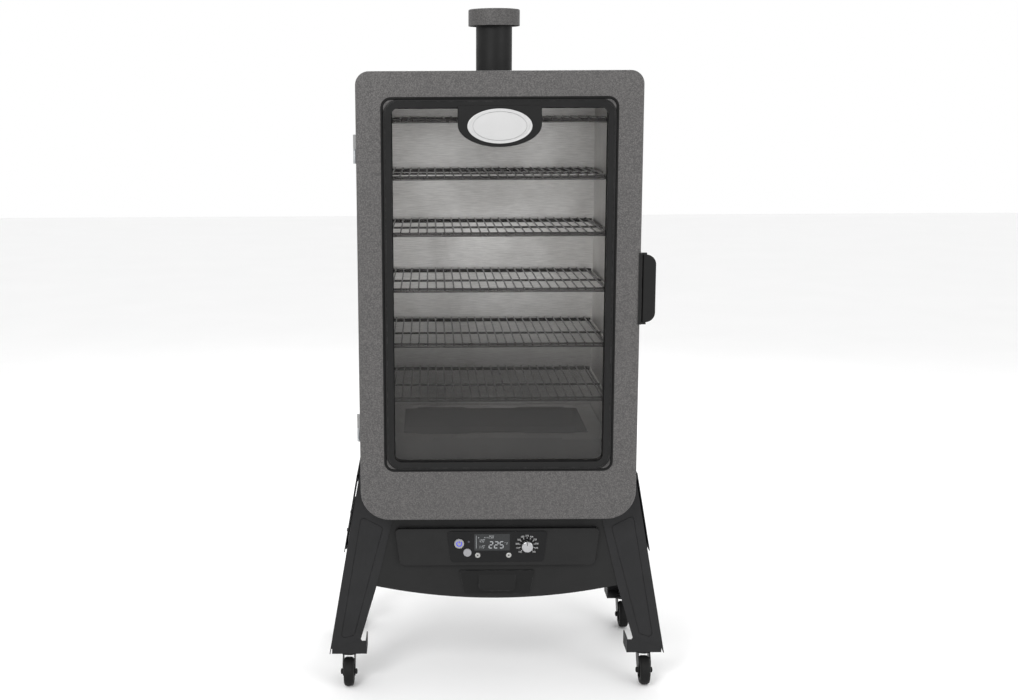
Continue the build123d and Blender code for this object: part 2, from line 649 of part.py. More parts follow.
def caster_fork(x, d):
    crown = drum(x, d, CROWN_TOP - 2.6, CROWN_TOP, CROWN_RADIUS)
    crown -= drum(x, d, CROWN_TOP - 5, CROWN_TOP + 1, STEM_RADIUS + HINGE_FIT)
    axle_d, axle_z = d - TRAIL, WHEEL_RADIUS
    cheek = polygon((d + 16, CROWN_TOP), (d - 20, CROWN_TOP), (axle_d - 11, CROWN_TOP - 20),
                    (axle_d - 9, axle_z - 9), (axle_d + 9, axle_z - 9), (d + 6, CROWN_TOP - 24))
    cheek = fillet(cheek.vertices(), 4)
    arms = [side_slab(cheek, x - FORK_HALF, x - FORK_HALF + FORK_SHEET),
            side_slab(cheek, x + FORK_HALF - FORK_SHEET, x + FORK_HALF)]
    axle = rod_x(x - FORK_HALF - 5, x + FORK_HALF + 5, axle_d, axle_z, AXLE_RADIUS)
    head = rod_x(x - FORK_HALF - 4, x - FORK_HALF, axle_d, axle_z, AXLE_RADIUS + 2.6)
    nut = rod_x(x + FORK_HALF, x + FORK_HALF + 4, axle_d, axle_z, AXLE_RADIUS + 2.6)
    return Part() + [crown, axle, head, nut] + arms


def caster_wheel(x, d):
    axle_d = d - TRAIL
    half = WHEEL_WIDTH / 2
    bore_radius = AXLE_RADIUS + HINGE_FIT
    tyre = rod_x(x - half, x + half, axle_d, WHEEL_RADIUS, WHEEL_RADIUS)
    tyre = fillet(tyre.edges().filter_by(GeomType.CIRCLE), 7)
    tyre -= rod_x(x - half - 1, x + half + 1, axle_d, WHEEL_RADIUS, 23)
    hub = rod_x(x - half, x + half, axle_d, WHEEL_RADIUS, 23)
    for side in (-1, 1):
        x0, x1 = sorted((x + side * (half - 6), x + side * (half + 1)))
        ring = rod_x(x0, x1, axle_d, WHEEL_RADIUS, 20) - rod_x(x0, x1, axle_d, WHEEL_RADIUS, 9)
        hub -= ring
    hub -= rod_x(x - half - 1, x + half + 1, axle_d, WHEEL_RADIUS, bore_radius)
    return [tyre, hub]


def brake_pedal(x, d):
    """The lock lever on a rear caster, in its locked position."""
    pivot_d, pivot_z = d + 22, CROWN_TOP - 7
    barrel = rod_x(x - FORK_HALF + 3, x + FORK_HALF - 3, pivot_d, pivot_z, 4)
    profile = polygon((pivot_d, pivot_z + 3), (pivot_d + 34, pivot_z - 10), (pivot_d + 34, pivot_z - 14),
                      (pivot_d, pivot_z - 3))
    lever = side_slab(profile, x - FORK_HALF + 3, x + FORK_HALF - 3)
    return barrel + lever - rod_x(x - FORK_HALF, x + FORK_HALF, pivot_d, pivot_z, 2 + HINGE_FIT)


def pedal_carrier(x, d):
    """The pin that a lock lever tilts on, with the two lugs that hold it to the fork."""
    pivot_d, pivot_z = d + 22, CROWN_TOP - 7
    lug = polygon((d + 8, CROWN_TOP), (pivot_d + 5, CROWN_TOP - 1), (pivot_d + 5, pivot_z - 4),
                  (d + 8, pivot_z - 4))
    lugs = [side_slab(lug, x - FORK_HALF, x - FORK_HALF + FORK_SHEET),
            side_slab(lug, x + FORK_HALF - FORK_SHEET, x + FORK_HALF)]
    return [rod_x(x - FORK_HALF, x + FORK_HALF, pivot_d, pivot_z, 2)] + lugs


# ---------------------------------------------------------------- controls
BUTTON_PROUD = 3.0
BUTTON_DEPTH = 6.0
BUTTON_TRAVEL_ROOM = 3.0
KNOB_HEIGHT = 16.0
KNOB_SHAFT = 3.0


def control_fascia():
    behind = STAND_FRONT + LEG_SHEET
    hollow = slab(fascia_outline(SHEET), FASCIA_FACE + SHEET, behind + 1)
    tub = slab(fascia_outline(), FASCIA_FACE, behind) - hollow
    edge = tub.faces().sort_by(Axis.Y)[0].outer_wire().edges()
    return fillet(edge, 1.2) - slab(box_outline(GAP), 0, CAB_BACK)


def controller_housing():
    bezel = slab(panel_outline(), PANEL_FACE, FASCIA_FACE)
    bezel = fillet(bezel.faces().sort_by(Axis.Y)[0].edges(), 0.8)
    box = slab(box_outline(), FASCIA_FACE, BOX_BACK)
    housing = bezel + box
    for x, z, radius in (POWER_BUTTON, PRIME_BUTTON):
        pocket = PANEL_FACE + BUTTON_DEPTH + BUTTON_TRAVEL_ROOM
        housing -= rod_y(x, z, 0, pocket, radius + GAP)
    left, right, bottom, top = DISPLAY
    housing -= block(left, right, 0, PANEL_FACE + 2.4, bottom, top)
    x, z, _ = KNOB
    housing -= rod_y(x, z, 0, PANEL_FACE + 16, KNOB_SHAFT + HINGE_FIT)
    for x, z in JACKS:
        housing -= rod_y(x, z, 0, PANEL_FACE + JACK_BORE_LENGTH + 4, 4)
    return housing


def display():
    left, right, bottom, top = DISPLAY
    return block(left, right, PANEL_FACE - 0.3, PANEL_FACE + 2.4, bottom, top)


def push_button(place):
    x, z, radius = place
    cap = rod_y(x, z, PANEL_FACE - BUTTON_PROUD, PANEL_FACE + BUTTON_DEPTH, radius)
    front = cap.edges().filter_by(GeomType.CIRCLE).group_by(Axis.Y)[0]
    return fillet(front, 1.2)


def temperature_knob():
    x, z, radius = KNOB
    body = rod_y(x, z, PANEL_FACE - KNOB_HEIGHT - GAP, PANEL_FACE - GAP, radius)
    body = fillet(body.edges().filter_by(GeomType.CIRCLE).group_by(Axis.Y)[0], 3)
    mark_d = PANEL_FACE - KNOB_HEIGHT - GAP
    mark = block(x - 0.8, x + 0.8, mark_d - 1, mark_d + 0.8, z + radius - 8, z + radius - 2)
    return body + rod_y(x, z, PANEL_FACE - GAP, PANEL_FACE + 14, KNOB_SHAFT) - mark


def probe_jacks():
    jacks = []
    for x, z in JACKS:
        ring = rod_y(x, z, PANEL_FACE - 1.6, PANEL_FACE, JACK_RADIUS)
        ring = fillet(ring.edges().filter_by(GeomType.CIRCLE).group_by(Axis.Y)[0], 0.6)
        barrel = rod_y(x, z, PANEL_FACE, PANEL_FACE + JACK_BORE_LENGTH + 2, 4)
        bore = rod_y(x, z, PANEL_FACE - 3, PANEL_FACE - 1.6 + JACK_BORE_LENGTH, JACK_BORE)
        jacks.append(ring + barrel - bore)
    return jacks


# ---------------------------------------------------------------- drip drawer
PULL_HALF = 43.0
PULL_TOP = 276.0
PULL_BOTTOM = 240.0
PULL_REACH = 11.0
DRAWER_FACE = 50.5


def drip_drawer():
    face = slab(drawer_outline(), DRAWER_FACE, DRAWER_FACE + 3)
    pull = block(-PULL_HALF, PULL_HALF, DRAWER_FACE - PULL_REACH, DRAWER_FACE + 1, PULL_BOTTOM, PULL_TOP)
    pull = fillet(pull.edges().filter_by(Axis.Y).group_by(Axis.Z)[0], 12)
    pull &= side_slab(polygon((DRAWER_FACE, PULL_TOP), (DRAWER_FACE + 1, PULL_BOTTOM),
                              (DRAWER_FACE - PULL_REACH, PULL_BOTTOM),
                              (DRAWER_FACE - PULL_REACH + 2, PULL_BOTTOM + 8)), -PULL_HALF, PULL_HALF)
    scoop = block(-PULL_HALF + 8, PULL_HALF - 8, DRAWER_FACE - PULL_REACH + 3, DRAWER_FACE, PULL_BOTTOM - 1,
                  PULL_BOTTOM + 7)
    wall = 1.6
    front = DRAWER_FACE + 3
    tray = block(-TRAY_HALF, TRAY_HALF, front, DRAWER_BACK, TRAY_BOTTOM, TRAY_TOP)
    tray -= block(-TRAY_HALF + wall, TRAY_HALF - wall, front + wall, DRAWER_BACK - wall, TRAY_BOTTOM + wall,
                  TRAY_TOP + 1)
    wings = [block(-FLANGE_X, -TRAY_HALF + 1, front + 4, DRAWER_BACK, TRAY_TOP - wall, TRAY_TOP),
             block(TRAY_HALF - 1, FLANGE_X, front + 4, DRAWER_BACK, TRAY_TOP - wall, TRAY_TOP)]
    return Part() + [face, pull - scoop, tray] + wings


def drawer_runners():
    front, back = STAND_FRONT + 2 * LEG_SHEET + 4, DRAWER_BACK + 20
    outer = FLANGE_X + GAP
    under = TRAY_TOP - 1.6 - GAP
    web = block(outer, outer + SHEET, front, back, under - SHEET, BOX_BACK + 200)
    ledge = block(TRAY_HALF + GAP, outer + SHEET, front, back, under - SHEET, under)
    hanger = block(outer, outer + SHEET, BOX_BACK + 14, back, BOX_BACK + 190, CAB_BOTTOM)
    foot = block(outer, outer + 20, BOX_BACK + 14, back, CAB_BOTTOM - SHEET, CAB_BOTTOM)
    runner = web + ledge + hanger + foot
    return [runner, mirrored_x(runner)]


# ---------------------------------------------------------------- door
def window_outline(grow=0.0):
    return rounded(WINDOW_HALF + grow, WINDOW_BOTTOM - grow, WINDOW_TOP + grow,
                   WINDOW_CORNER + grow * 0.9, WINDOW_CORNER + grow * 0.9)


def door_outline(inset=0.0):
    return rounded(DOOR_HALF - inset, DOOR_BOTTOM + inset, DOOR_TOP - inset,
                   TOP_CORNER - inset, BOTTOM_CORNER - inset)


def door_skin():
    body = slab(door_outline(), 0, DOOR_DEPTH)
    body = fillet(body.faces().sort_by(Axis.Y)[0].edges(), SKIN_EDGE)
    body -= slab(door_outline(SHEET), SHEET + 0.5, DOOR_DEPTH + 1)
    return body - slab(window_outline(FRAME_BAND - 6), -1, DOOR_DEPTH)


def door_liner():
    plate = slab(door_outline(SHEET), DOOR_DEPTH - SHEET, DOOR_DEPTH)
    collar = slab(window_outline(6), GLASS_DEPTH + GLASS, DOOR_DEPTH)
    return plate + collar - slab(window_outline(6 - SHEET), 0, DOOR_DEPTH + 1)


def bezel_outline():
    height = WINDOW_TOP + 4 - BEZEL_STRAIGHT_Z
    upper = Pos(0, BEZEL_STRAIGHT_Z + height / 2) * Rectangle(2 * BEZEL_HALF, height)
    drop = BEZEL_STRAIGHT_Z - BEZEL_BOTTOM_Z
    lower_half = Pos(0, BEZEL_STRAIGHT_Z - drop / 2) * Rectangle(2 * BEZEL_HALF, drop)
    return upper + (Pos(0, BEZEL_STRAIGHT_Z) * Ellipse(BEZEL_HALF, drop) & lower_half)


def window_frame():
    """The black trim round the glass, with the badge's bezel moulded on."""
    band = slab(window_outline(FRAME_BAND), -FRAME_PROUD, 0)
    band = fillet(band.faces().sort_by(Axis.Y)[0].edges(), 3)
    band += slab(window_outline(FRAME_BAND - 6.3), 0, GLASS_DEPTH)
    groove = slab(window_outline(FRAME_BAND - 4), -FRAME_PROUD - 1, -FRAME_PROUD + 0.8)
    groove -= slab(window_outline(FRAME_BAND - 5.2), -FRAME_PROUD - 2, 0)
    frame = band - groove - slab(window_outline(), -20, 20)
    bezel = slab(bezel_outline(), -FRAME_PROUD - 2, 2)
    return frame + fillet(bezel.faces().sort_by(Axis.Y)[0].edges(), 1.5)


def window_glass():
    return slab(window_outline(5.5), GLASS_DEPTH, GLASS_DEPTH + GLASS)


def door_gasket():
    ring = slab(rounded(LINER_HALF + 30, LINER_BOTTOM - 24, LINER_TOP + 18, 26, 46), DOOR_DEPTH,
                CAB_FRONT - GAP)
    return ring - slab(rounded(LINER_HALF + 18, LINER_BOTTOM - 12, LINER_TOP + 6, 16, 36), 0, CAB_FRONT)


def badge_plate():
    face = -FRAME_PROUD - 2
    oval = slab(Pos(0, BADGE_Z) * Ellipse(BADGE_WIDTH / 2, BADGE_HEIGHT / 2), -FRONT_REACH, face)
    oval = fillet(oval.edges().group_by(Axis.Y)[0], 1)
    ring = Pos(0, BADGE_Z) * (Ellipse(BADGE_WIDTH / 2 - 6, BADGE_HEIGHT / 2 - 6)
                              - Ellipse(BADGE_WIDTH / 2 - 7.4, BADGE_HEIGHT / 2 - 7.4))
    return oval - slab(ring, -FRONT_REACH - 1, -FRONT_REACH + 0.6)


# ---------------------------------------------------------------- hinges and latch
def cabinet_hinges():
    hinges = []
    for bottom in HINGE_BOTTOMS:
        middle = bottom + HINGE_HEIGHT / 2
        barrel = drum(HINGE_X, HINGE_D, bottom, middle - GAP / 2, HINGE_BARREL)
        pin = drum(HINGE_X, HINGE_D, middle - 2, bottom + HINGE_HEIGHT - 4, HINGE_PIN)
        strap = block(HINGE_X - 1, -CAB_HALF, HINGE_D + 3, HINGE_D + 5.5, bottom, middle - GAP / 2)
        leaf = block(-CAB_HALF - 2, -CAB_HALF, HINGE_D + 3, HINGE_D + 34, bottom, middle - GAP / 2)
        hinges.append(barrel + pin + strap + leaf)
    return hinges


def door_hinges():
    hinges = []
    for bottom in HINGE_BOTTOMS:
        middle = bottom + HINGE_HEIGHT / 2
        top = bottom + HINGE_HEIGHT
        barrel = drum(HINGE_X, HINGE_D, middle + GAP / 2, top, HINGE_BARREL)
        leaf = block(-DOOR_HALF - 1.6, -DOOR_HALF, HINGE_D - 34, HINGE_D - 3, middle + GAP / 2, top)
        strap = block(HINGE_X - 1, -DOOR_HALF, HINGE_D - 5, HINGE_D - 3, middle + GAP / 2, top)
        bore = drum(HINGE_X, HINGE_D, middle - 1, top - 3, HINGE_PIN + HINGE_FIT)
        hinges.append(barrel + leaf + strap - bore)
    return hinges


def latch_base():
    """The bracket on the door's right edge, with the latch's pin between its two ears."""
    side = block(DOOR_HALF, DOOR_HALF + 2.6, -2.4, 40, LATCH_BOTTOM, LATCH_TOP)
    lip = block(DOOR_HALF - 5, DOOR_HALF + 2.6, -2.4, 0, LATCH_BOTTOM, LATCH_TOP)
    pin = drum(LATCH_X, LATCH_D, LATCH_BOTTOM, LATCH_TOP, LATCH_PIN)
    ears = [block(DOOR_HALF, LATCH_X + 5, LATCH_D - 5, LATCH_D + 5, z, z + 4)
            for z in (LATCH_BOTTOM, LATCH_TOP - 4)]
    return Part() + [side, lip, pin] + ears


def latch_handle():
    bottom, top = LATCH_BOTTOM + 4 + GAP, LATCH_TOP - 4 - GAP
    barrel = drum(LATCH_X, LATCH_D, bottom, top, 4.6)
    wing = slab(polygon((LATCH_X, bottom), (WING_TIP_X, bottom), (WING_TIP_X, top), (LATCH_X, top)),
                LATCH_D - 4.6, LATCH_D + 2)
    wing = fillet(wing.edges().filter_by(Axis.Y).group_by(Axis.X)[-1], 22)
    wing = fillet(wing.faces().sort_by(Axis.Y)[0].edges().group_by(Axis.X)[-1], 2)
    arm = block(LATCH_X + 1, LATCH_X + 4, LATCH_D, STRIKER_D + 12, STRIKER_Z - 14, STRIKER_Z + 14)
    bore = drum(LATCH_X, LATCH_D, bottom - 1, top + 1, LATCH_PIN + HINGE_FIT)
    return barrel + wing + arm - bore


def latch_striker():
    plate = block(CAB_HALF, CAB_HALF + 2, STRIKER_D - 16, STRIKER_D + 16, STRIKER_Z - 24, STRIKER_Z + 24)
    ears = [block(CAB_HALF, LATCH_X, STRIKER_D - 5, STRIKER_D + 5, z, z + 3)
            for z in (STRIKER_Z - 21, STRIKER_Z + 18)]
    roller = drum(CAB_HALF + 6.6, STRIKER_D, STRIKER_Z - 21, STRIKER_Z + 21, 4)
    return Part() + [plate, roller] + ears


# ---------------------------------------------------------------- nodes
def build():
    """Every node's name with its solid or its group of solids."""
    right_leg = leg()
    left_leg = mirrored_x(right_leg)
    nodes = {
        "cabinet_shell": cabinet_shell(), "cabinet_liner": cabinet_liner(),
        "cabinet_insulation": cabinet_insulation(), "rack_rails": rack_rails(),
        "temperature_probe": temperature_probe(), "chimney_pipe": chimney_pipe(),
        "chimney_cap": chimney_cap(), "heat_deflector": heat_deflector(), "water_pan": water_pan(),
        "fire_pot": fire_pot(), "igniter": igniter(), "auger_tube": auger_tube(),
        "auger_screw": auger_screw(), "auger_motor": auger_motor(), "hopper": hopper(),
        "hopper_lid": hopper_lid(), "fan_housing": fan_housing(), "fan_impeller": fan_impeller(),
        "front_legs": [left_leg, right_leg],
        "rear_legs": [turned_back(left_leg), turned_back(right_leg)],
        "front_valance": front_valance(), "stand_panels": stand_panels(), "power_inlet": power_inlet(),
        "caster_stems": caster_stems(), "control_fascia": control_fascia(),
        "controller_housing": controller_housing(), "display": display(),
        "power_button": push_button(POWER_BUTTON), "prime_button": push_button(PRIME_BUTTON),
        "temperature_knob": temperature_knob(), "probe_jacks": probe_jacks(),
        "drip_drawer": drip_drawer(), "drawer_runners": drawer_runners(),
        "door_skin": door_skin(), "door_liner": door_liner(), "window_frame": window_frame(),
        "window_glass": window_glass(), "door_gasket": door_gasket(),
        "badge_plate": badge_plate(), "cabinet_hinges": cabinet_hinges(), "door_hinges": door_hinges(),
        "latch_base": latch_base(), "latch_handle": latch_handle(), "latch_striker": latch_striker(),
    }
    top_rack = rack(0)
    for index in range(RACK_COUNT):
        nodes[f"rack_{index + 1}"] = Pos(0, 0, -RACK_PITCH * index) * top_rack
    for name, x, d in caster_places():
        fork = [caster_fork(x, d)]
        if name.startswith("rear"):
            fork += pedal_carrier(x, d)
            nodes[f"brake_pedal_{name}"] = brake_pedal(x, d)
        nodes[f"caster_fork_{name}"] = fork
        nodes[f"caster_wheel_{name}"] = caster_wheel(x, d)
    return nodes


def save(nodes):
    os.makedirs("parts", exist_ok=True)
    for name, shape in nodes.items():
        pieces = shape if isinstance(shape, list) else [shape]
        solids = [solid for piece in pieces for solid in piece.solids()]
        whole = solids[0] if len(solids) == 1 else Compound(children=solids)
        export_step(whole, f"parts/{name}.step")


save(build())
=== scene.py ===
"""Looks for the pellet smoker grill: materials, small fittings, light and camera. Metres throughout."""
import json
import math
import random

import bpy
from mathutils import Matrix, Vector
from mathutils.bvhtree import BVHTree


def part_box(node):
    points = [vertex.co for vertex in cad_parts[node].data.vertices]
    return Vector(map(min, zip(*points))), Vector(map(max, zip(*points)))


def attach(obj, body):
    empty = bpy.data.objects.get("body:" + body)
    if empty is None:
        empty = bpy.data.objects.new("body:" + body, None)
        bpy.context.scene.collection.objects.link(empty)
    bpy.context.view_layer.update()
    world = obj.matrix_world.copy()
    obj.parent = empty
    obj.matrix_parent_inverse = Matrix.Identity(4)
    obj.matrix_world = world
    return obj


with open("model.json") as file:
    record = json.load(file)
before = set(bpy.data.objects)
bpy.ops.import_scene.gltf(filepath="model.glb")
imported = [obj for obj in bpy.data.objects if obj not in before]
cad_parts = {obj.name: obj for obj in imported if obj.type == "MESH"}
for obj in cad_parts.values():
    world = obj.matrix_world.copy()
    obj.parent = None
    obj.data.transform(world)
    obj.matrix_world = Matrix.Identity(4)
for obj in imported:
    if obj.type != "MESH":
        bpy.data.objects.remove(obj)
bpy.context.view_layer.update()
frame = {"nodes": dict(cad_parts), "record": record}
NODES = frame["nodes"]
MM = 0.001
FRONT = Vector((0, -1, 0))
FRAME_BAND = 18 * MM
random.seed(7)


# ---------------------------------------------------------------- materials
def srgb(red, green, blue):
    """Linear colour of an 8-bit screen colour."""
    channels = [value / 255 for value in (red, green, blue)]
    return tuple(c / 12.92 if c < 0.04045 else ((c + 0.055) / 1.055) ** 2.4 for c in channels)


class Finish:
    """One material's node tree, built around a Principled shader in the piece's own coordinates."""

    def __init__(self, name):
        self.material = bpy.data.materials.new(name)
        self.material.use_nodes = True
        self.tree = self.material.node_tree
        self.tree.nodes.clear()
        out = self.tree.nodes.new("ShaderNodeOutputMaterial")
        self.shader = self.tree.nodes.new("ShaderNodeBsdfPrincipled")
        self.tree.links.new(self.shader.outputs["BSDF"], out.inputs["Surface"])
        self.place = self.tree.nodes.new("ShaderNodeTexCoord").outputs["Object"]

    def add(self, kind, settings=None, **inputs):
        """A new node; each input is a value or another node's output."""
        node = self.tree.nodes.new(kind)
        for key, value in (settings or {}).items():
            setattr(node, key, value)
        for key, value in inputs.items():
            self.feed(node.inputs[key.replace("_", " ")], value)
        return node

    def feed(self, socket, value):
        if isinstance(value, bpy.types.NodeSocket):
            self.tree.links.new(value, socket)
        else:
            socket.default_value = value

    def stretched(self, stretch):
        if stretch == (1, 1, 1):
            return self.place
        return self.add("ShaderNodeMapping", Vector=self.place, Scale=stretch).outputs["Vector"]

    def noise(self, scale, detail=3.0, stretch=(1, 1, 1)):
        where = self.stretched(stretch)
        node = self.add("ShaderNodeTexNoise", Vector=where, Scale=scale, Detail=detail, Roughness=0.6)
        return node.outputs["Fac"]

    def cells(self, scale, smooth=True):
        kind = {"feature": "SMOOTH_F1" if smooth else "F1"}
        return self.add("ShaderNodeTexVoronoi", kind, Vector=self.place, Scale=scale)

    def remap(self, value, low, high, to_low, to_high):
        node = self.add("ShaderNodeMapRange", {"clamp": True}, Value=value)
        for key, number in (("From Min", low), ("From Max", high), ("To Min", to_low), ("To Max", to_high)):
            node.inputs[key].default_value = number
        return node.outputs["Result"]

    def math(self, operation, first, second):
        node = self.add("ShaderNodeMath", {"operation": operation})
        self.feed(node.inputs[0], first)
        self.feed(node.inputs[1], second)
        return node.outputs[0]

    def mix(self, factor, first, second):
        node = self.add("ShaderNodeMix", {"data_type": "RGBA"})
        self.feed(node.inputs[0], factor)
        for socket, colour in ((node.inputs[6], first), (node.inputs[7], second)):
            self.feed(socket, colour if isinstance(colour, bpy.types.NodeSocket) else (*colour, 1))
        return node.outputs[2]

    def edges(self, radius):
        """1 along outside edges and 0 on faces, broken up by noise."""
        bevel = self.add("ShaderNodeBevel", {"samples": 4}, Radius=radius).outputs["Normal"]
        normal = self.add("ShaderNodeNewGeometry").outputs["Normal"]
        dot = self.add("ShaderNodeVectorMath", {"operation": "DOT_PRODUCT"})
        self.feed(dot.inputs[0], bevel)
        self.feed(dot.inputs[1], normal)
        edge = self.remap(dot.outputs["Value"], 0.985, 0.8, 0.0, 1.0)
        patches = self.remap(self.noise(90, 5), 0.45, 0.62, 0.0, 1.0)
        return self.math("MULTIPLY", edge, patches)

    def shade(self, colour, rough, height, depth):
        self.feed(self.shader.inputs["Base Color"], colour)
        self.feed(self.shader.inputs["Roughness"], rough)
        bump = self.add("ShaderNodeBump", Height=height, Distance=depth, Strength=0.9)
        self.feed(self.shader.inputs["Normal"], bump.outputs["Normal"])

    def fixed(self, metallic=0.0, specular=0.5, coat=0.0, coat_roughness=0.1):
        self.shader.inputs["Metallic"].default_value = metallic
        self.shader.inputs["Specular IOR Level"].default_value = specular
        self.shader.inputs["Coat Weight"].default_value = coat
        self.shader.inputs["Coat Roughness"].default_value = coat_roughness


def scaled(colour, factor):
    return tuple(channel * factor for channel in colour)


def painted(name, colour, rough, grain, depth, tone=0.16, wear=0.35, specular=0.22, metallic=0.0,
            worn=(0.22, 0.22, 0.22), stretch=(1, 1, 1), coat=0.0):
    """A surface of one colour with its grain, cloudy tone, uneven gloss and worn edges."""
    finish = Finish(name)
    fine = finish.noise(1 / grain, 2, stretch)
    cloud = finish.noise(7, 4)
    both = finish.math("ADD", finish.math("MULTIPLY", fine, 0.5), finish.math("MULTIPLY", cloud, 0.5))
    body = finish.mix(finish.remap(both, 0.36, 0.64, 0, 1), scaled(colour, 1 - tone), scaled(colour, 1 + tone))
    if wear:
        mask = finish.math("MULTIPLY", finish.edges(1.2 * MM), wear)
        body = finish.mix(mask, body, worn)
    gloss = finish.remap(finish.noise(23, 5), 0.3, 0.7, rough - 0.07, rough + 0.09)
    finish.shade(body, gloss, fine, depth)
    finish.fixed(metallic, specular, coat)
    return finish.material


def hammertone():
    """Grey hammered enamel: shallow pebbles a few millimetres across, each with its own random tone, and painted
    shade that makes each pebble's crest lighter and the hollows between darker.
    """
    finish = Finish("hammertone_enamel")
    pebbles = finish.cells(480)
    # Painted shade: the crest field lightens pebble tops and darkens the hollows between them; it is also the
    # bump height.
    crests = finish.remap(pebbles.outputs["Distance"], 0.1, 0.62, 1, 0)
    specks = finish.noise(780, 3)
    each = finish.add("ShaderNodeSeparateColor", Color=pebbles.outputs["Color"]).outputs[0]
    light = finish.math("MULTIPLY", finish.math("ADD", crests, each), 0.5)
    light = finish.math("ADD", finish.math("MULTIPLY", light, 0.62), finish.math("MULTIPLY", specks, 0.38))
    colour = finish.mix(finish.remap(light, 0.3, 0.7, 0, 1), srgb(62, 61, 61), srgb(96, 94, 93))
    cloud = finish.remap(finish.noise(4, 4), 0.35, 0.65, 0, 0.16)
    colour = finish.mix(cloud, colour, srgb(72, 70, 69))
    colour = finish.mix(finish.math("MULTIPLY", finish.edges(1.5 * MM), 0.25), colour, srgb(150, 147, 145))
    gloss = finish.remap(specks, 0.3, 0.7, 0.42, 0.6)
    height = finish.math("ADD", crests, finish.math("MULTIPLY", specks, 0.3))
    finish.shade(colour, gloss, height, 0.35 * MM)
    finish.fixed(metallic=0.0, specular=0.35)
    return finish.material


def brushed(name, colour, rough, stretch, smoke, shaded_flange=False):
    """Rolled stainless sheet with its brush lines, a brown smoke film, and for the liner a dark grey
    painted shade along the flange's outer edge where the door meets it, with its metal sheen turned off there."""
    finish = Finish(name)
    lines = finish.noise(60, 4, stretch)
    cloud = finish.noise(5, 5)
    body = finish.mix(finish.remap(lines, 0.35, 0.65, 0, 1), scaled(colour, 0.86), scaled(colour, 1.12))
    film = finish.remap(cloud, 0.42, 0.72, 0, smoke)
    body = finish.mix(film, body, srgb(92, 78, 62))
    gloss = finish.remap(cloud, 0.3, 0.7, rough - 0.06, rough + 0.12)
    if shaded_flange:
        # Painted shade: the flange's outer edge is painted dark grey and made non-metallic, a dark line where
        # door and cabinet meet.
        edge = flange_edge(finish)
        body = finish.mix(edge, body, srgb(80, 78, 77))
        finish.feed(finish.shader.inputs["Metallic"], finish.remap(edge, 0, 1, 1, 0))
    finish.shade(body, gloss, lines, 0.05 * MM)
    finish.fixed(metallic=1.0, specular=0.5)
    return finish.material


def flange_edge(finish):
    """1 on the outermost 2 mm of the cabinet liner's flange, elsewhere 0."""
    low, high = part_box("cabinet_liner")
    axes = finish.add("ShaderNodeSeparateXYZ", Vector=finish.place).outputs
    band, inner = 2 * MM, 1.6 * MM
    side = finish.remap(finish.math("ABSOLUTE", axes["X"], 0), high[0] - band, high[0] - inner, 0, 1)
    top = finish.remap(axes["Z"], high[2] - band, high[2] - inner, 0, 1)
    bottom = finish.remap(axes["Z"], low[2] + band, low[2] + inner, 0, 1)
    return finish.math("MAXIMUM", side, finish.math("MAXIMUM", top, bottom))


def galvanised():
    """Zinc spangle: flat crystals a few millimetres across, each a little lighter or darker."""
    finish = Finish("zinc_spangle")
    crystals = finish.cells(140, smooth=False)
    tone = finish.add("ShaderNodeSeparateColor", Color=crystals.outputs["Color"]).outputs[0]
    colour = finish.mix(tone, srgb(140, 143, 146), srgb(186, 188, 190))
    finish.shade(colour, finish.remap(tone, 0, 1, 0.32, 0.5), finish.noise(500, 3), 0.05 * MM)
    finish.fixed(metallic=1.0)
    return finish.material


def mineral_wool():
    finish = Finish("mineral_wool")
    fibres = finish.noise(160, 6, (1, 1, 5))
    colour = finish.mix(finish.remap(fibres, 0.3, 0.7, 0, 1), srgb(150, 138, 105), srgb(208, 198, 168))
    finish.shade(colour, finish.remap(fibres, 0.3, 0.7, 0.8, 1.0), fibres, 1.5 * MM)
    finish.fixed(specular=0.1)
    return finish.material


def door_glass():
    """Tempered glass with a dark tint whose cover grows towards the bottom as painted shade over the chamber's
    lower part, plus a faint uneven cloudiness.
    """
    finish = Finish("smoked_glass")
    low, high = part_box("window_glass")
    height = finish.add("ShaderNodeSeparateXYZ", Vector=finish.place).outputs["Z"]
    tall = high[2] - low[2]
    # Painted shade: the glass grows more opaque towards the bottom, darkening the chamber's lower part.
    painted_shade = finish.remap(height, low[2] + tall * 0.1, low[2] + tall * 0.42, 0.62, 0.05)
    shade_and_haze = finish.math("ADD", painted_shade, finish.remap(finish.noise(9, 5), 0.35, 0.75, 0, 0.04))
    tint = finish.mix(finish.noise(30, 3), (0.011, 0.011, 0.011), (0.02, 0.018, 0.016))
    finish.shade(tint, finish.remap(finish.noise(14, 5), 0.4, 0.7, 0.03, 0.09), finish.noise(3, 1), 0.02 * MM)
    finish.feed(finish.shader.inputs["Alpha"], shade_and_haze)
    finish.fixed(specular=0.5)
    return finish.material


def lit(name, colour, strength):
    """A small glowing mark, a little uneven across its face."""
    finish = Finish(name)
    body = finish.mix(finish.noise(900, 2), scaled(colour, 0.8), colour)
    finish.shade(body, finish.remap(finish.noise(700, 2), 0.3, 0.7, 0.35, 0.5), finish.noise(1500, 2), 0.01 * MM)
    finish.feed(finish.shader.inputs["Emission Color"], body)
    finish.shader.inputs["Emission Strength"].default_value = strength
    finish.fixed(specular=0.3)
    return finish.material


